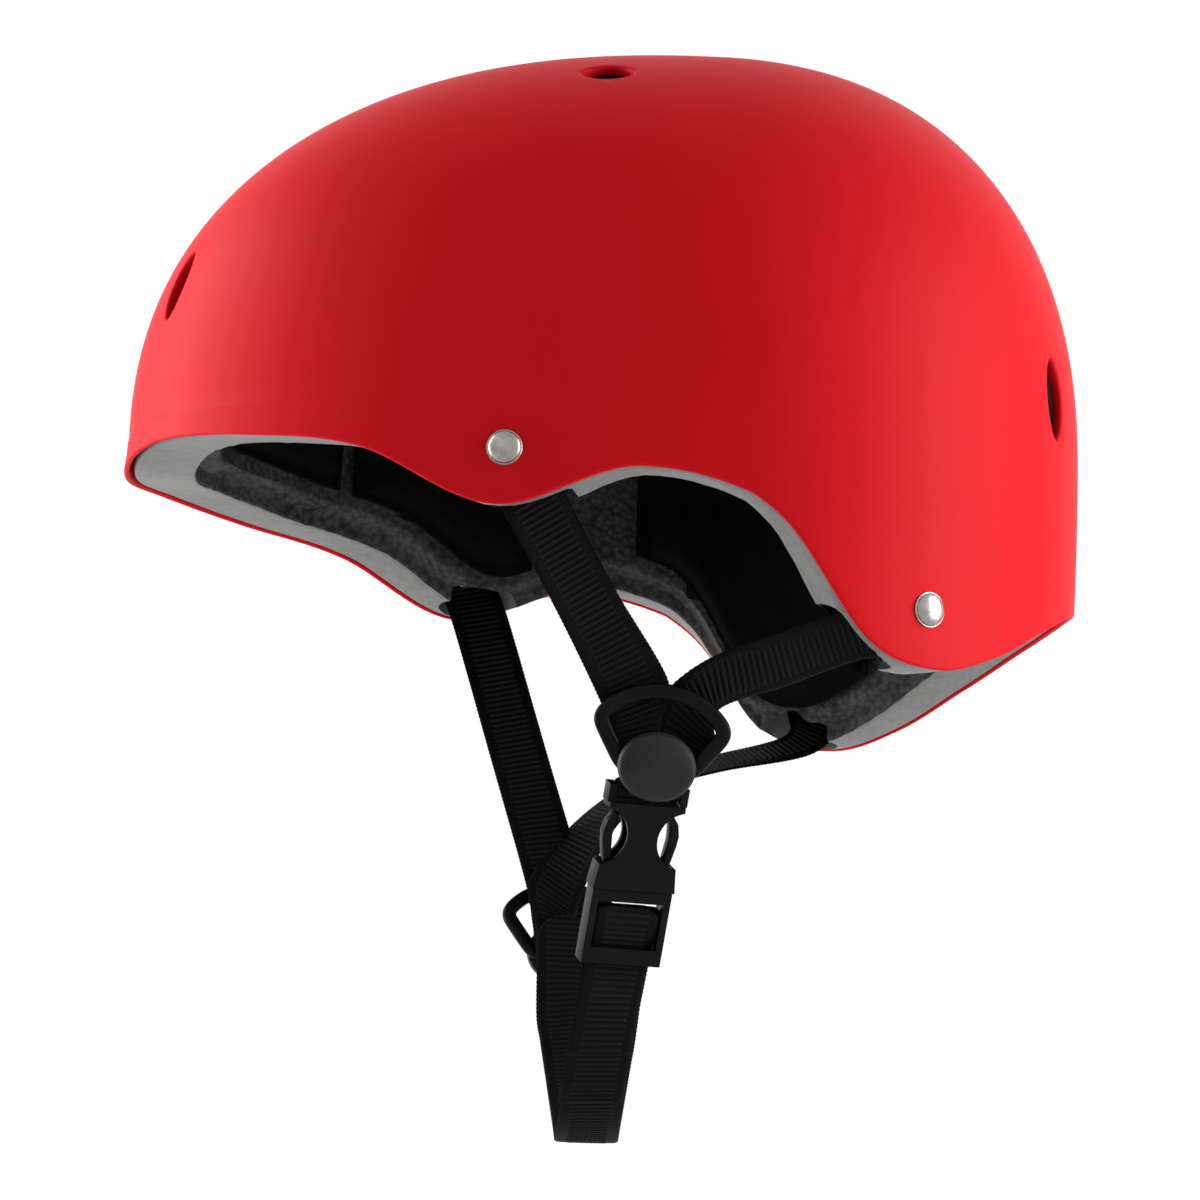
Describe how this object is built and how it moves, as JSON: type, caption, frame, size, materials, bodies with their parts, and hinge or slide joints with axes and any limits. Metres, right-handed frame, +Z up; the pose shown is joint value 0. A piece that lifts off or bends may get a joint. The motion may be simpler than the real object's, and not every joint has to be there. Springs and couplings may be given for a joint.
{
  "type": "water sports helmet",
  "caption": "Water sports helmet: red hard shell with vents, foam liner, comfort pads and a four-point webbing harness with a side release chin buckle.",
  "frame": {"origin": "on the plane of symmetry of the shell, at the height where the crown's dome begins, in the middle of the head cavity", "axes": "+X to the wearer's front, +Y to the wearer's left, +Z up"},
  "size_m": [0.2811, 0.214, 0.3215],
  "materials": {
    "shell_plastic": "soft-touch satin red",
    "liner_foam": "moulded foam with a satin skin",
    "pad_cloth": "smooth knitted cloth over soft foam",
    "hook_tape": "woven hook tape",
    "rivet_metal": "polished nickel plate",
    "webbing": "woven polyester with a fine cross rib",
    "harness_plastic": "smooth moulded acetal",
    "button_plastic": "matt moulded nylon"
  },
  "bodies": {
    "helmet": {"outer_shell": "shell_plastic", "foam_liner": "liner_foam", "brow_pad": "pad_cloth", "left_temple_pad": "pad_cloth", "right_temple_pad": "pad_cloth", "left_side_pad": "pad_cloth", "right_side_pad": "pad_cloth", "rear_pad": "pad_cloth", "crown_pad": "pad_cloth", "pad_hook_patches": "hook_tape", "front_left_rivet": "rivet_metal", "rear_left_rivet": "rivet_metal", "front_right_rivet": "rivet_metal", "rear_right_rivet": "rivet_metal", "rivet_washers": "rivet_metal", "front_left_strap": "webbing", "rear_left_strap": "webbing", "front_right_strap": "webbing", "rear_right_strap": "webbing", "left_divider_ring": "harness_plastic", "left_divider_button": "button_plastic", "left_divider_post": "harness_plastic", "right_divider_ring": "harness_plastic", "right_divider_button": "button_plastic", "right_divider_post": "harness_plastic"},
    "chin_loop": {"socket_tab": "webbing", "buckle_socket": "harness_plastic", "chin_strap_right": "webbing"},
    "plug": {"buckle_plug": "harness_plastic", "chin_strap_left": "webbing"},
    "front_prong": {"front_latch_prong": "harness_plastic"},
    "rear_prong": {"rear_latch_prong": "harness_plastic"},
    "tail": {"strap_tail": "webbing"}
  },
  "joints": [
    {"name": "chin_swing", "type": "hinge", "parent": "helmet", "child": "chin_loop", "pos_m": [-0.004, 0.079, -0.098], "axis": [0.08, -0.9604, -0.2668], "range_deg": [-12, 12]},
    {"name": "buckle_release", "type": "slide", "parent": "chin_loop", "child": "plug", "axis": [0.108, -0.3724, -0.9218], "range_m": [0, 0.024]},
    {"name": "front_prong_flex", "type": "hinge", "parent": "plug", "child": "front_prong", "pos_m": [0.00865, 0.06453, -0.13005], "axis": [-0.2067, 0.8985, -0.3872], "range_deg": [-10, 0]},
    {"name": "rear_prong_flex", "type": "hinge", "parent": "plug", "child": "rear_prong", "pos_m": [-0.00749, 0.06068, -0.13039], "axis": [-0.2067, 0.8985, -0.3872], "range_deg": [0, 10]},
    {"name": "tail_swing", "type": "hinge", "parent": "plug", "child": "tail", "pos_m": [0.003, 0.05428, -0.15109], "axis": [0.9724, 0.2323, 0.0201], "range_deg": [0, 40]}
  ],
  "couplings": [
    {"joint": "front_prong_flex", "follows": "buckle_release", "rad_per_m": -7},
    {"joint": "rear_prong_flex", "follows": "buckle_release", "rad_per_m": 7}
  ]
}
